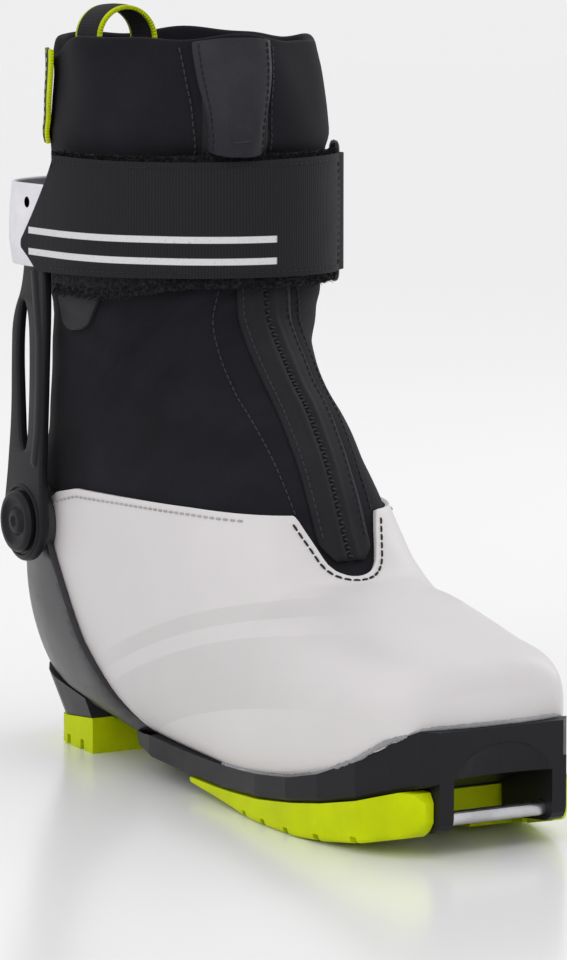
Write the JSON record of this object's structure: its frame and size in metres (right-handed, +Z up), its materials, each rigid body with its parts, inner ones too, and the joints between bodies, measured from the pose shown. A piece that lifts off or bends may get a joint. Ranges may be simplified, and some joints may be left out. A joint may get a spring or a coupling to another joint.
{
  "type": "cross country ski boot",
  "caption": "Skate-style cross country ski boot, right foot: white forefoot cover, black softshell shaft with zip, pivoting cuff arms, wide strap, toe bar and rockered sole.",
  "frame": {"origin": "on the ground, in the middle of the boot's footprint", "axes": "+Z up, -Y to the toe, -X to the lateral side of this right boot"},
  "size_m": [0.1052, 0.283, 0.2685],
  "materials": {
    "softshell": "matt softshell, black",
    "liner": "knitted lining",
    "vamp": "coated white synthetic",
    "counter": "satin grey moulding",
    "heel_base": "dark grey moulding",
    "chassis": "black sole plastic",
    "outsole": "lime rubber",
    "steel": "steel",
    "zip": "dark grey zip tape",
    "pull_metal": "dark coated metal",
    "zip_coil": "black coil",
    "strap": "woven strap",
    "cuff_white": "white cuff band",
    "arm": "black fibre-filled plastic",
    "board": "fibre board",
    "foam": "insole foam",
    "webbing": "lime and black webbing"
  },
  "bodies": {
    "boot": {"sole_chassis": "chassis", "toe_bar": "steel", "forefoot_outsole": "outsole", "heel_outsole": "outsole", "heel_cup_base": "heel_base", "heel_counter": "counter", "vamp_cover": "vamp", "lasting_board": "board", "sleeve_lower": "softshell", "sleeve_ankle": "softshell", "liner_lower": "liner", "liner_ankle": "liner", "toe_puff": "board", "heel_stiffener": "board", "insole": "foam", "tongue": "liner", "zip_tape_lateral": "zip", "zip_tape_medial": "zip", "zip_coil": "zip_coil", "pivot_pin_lateral": "steel", "pivot_pin_medial": "steel"},
    "cuff": {"sleeve_collar": "softshell", "sleeve_leg": "softshell", "liner_collar": "liner", "cuff_arm_lateral": "arm", "cuff_arm_medial": "arm", "pivot_cap_lateral": "arm", "pivot_cap_medial": "arm", "pivot_washer_lateral": "steel", "pivot_washer_medial": "steel", "cuff_band": "cuff_white", "rivet_lateral_upper": "steel", "rivet_lateral_lower": "steel", "rivet_medial_upper": "steel", "rivet_medial_lower": "steel", "cuff_wing_lateral": "zip", "cuff_wing_medial": "zip", "strap_base": "strap", "ring_tab": "strap", "zip_garage": "zip", "pull_loop": "webbing", "back_webbing": "webbing"},
    "ring": {"strap_ring": "arm"},
    "strap": {"strap_outer": "strap", "hook_patch": "strap"},
    "slider": {"zip_slider": "steel"},
    "pull": {"zip_pull": "pull_metal"}
  },
  "joints": [
    {"name": "cuff_pivot", "type": "hinge", "parent": "boot", "child": "cuff", "pos_m": [0, 0.097, 0.084], "axis": [1, 0, 0], "range_deg": [-4, 18], "deforming": ["sleeve_ankle", "liner_ankle", "tongue", "zip_tape_lateral", "zip_tape_medial", "zip_coil"]},
    {"name": "ring_swivel", "type": "hinge", "parent": "cuff", "child": "ring", "pos_m": [0.04512, 0.03719, 0.196], "axis": [0, 0, 1], "range_deg": [0, 35]},
    {"name": "strap_peel", "type": "hinge", "parent": "ring", "child": "strap", "pos_m": [0.03957, 0.02656, 0.196], "axis": [0, 0, 1], "range_deg": [0, 95]},
    {"name": "zip_slide", "type": "slide", "parent": "cuff", "child": "slider", "axis": [0.0561, 0.1572, 0.986], "range_m": [-0.008, 0]},
    {"name": "pull_flip", "type": "hinge", "parent": "slider", "child": "pull", "pos_m": [-0.01461, 0.00053, 0.23506], "axis": [-0.9331, 0.3597, -0.0042], "range_deg": [0, 130]}
  ]
}
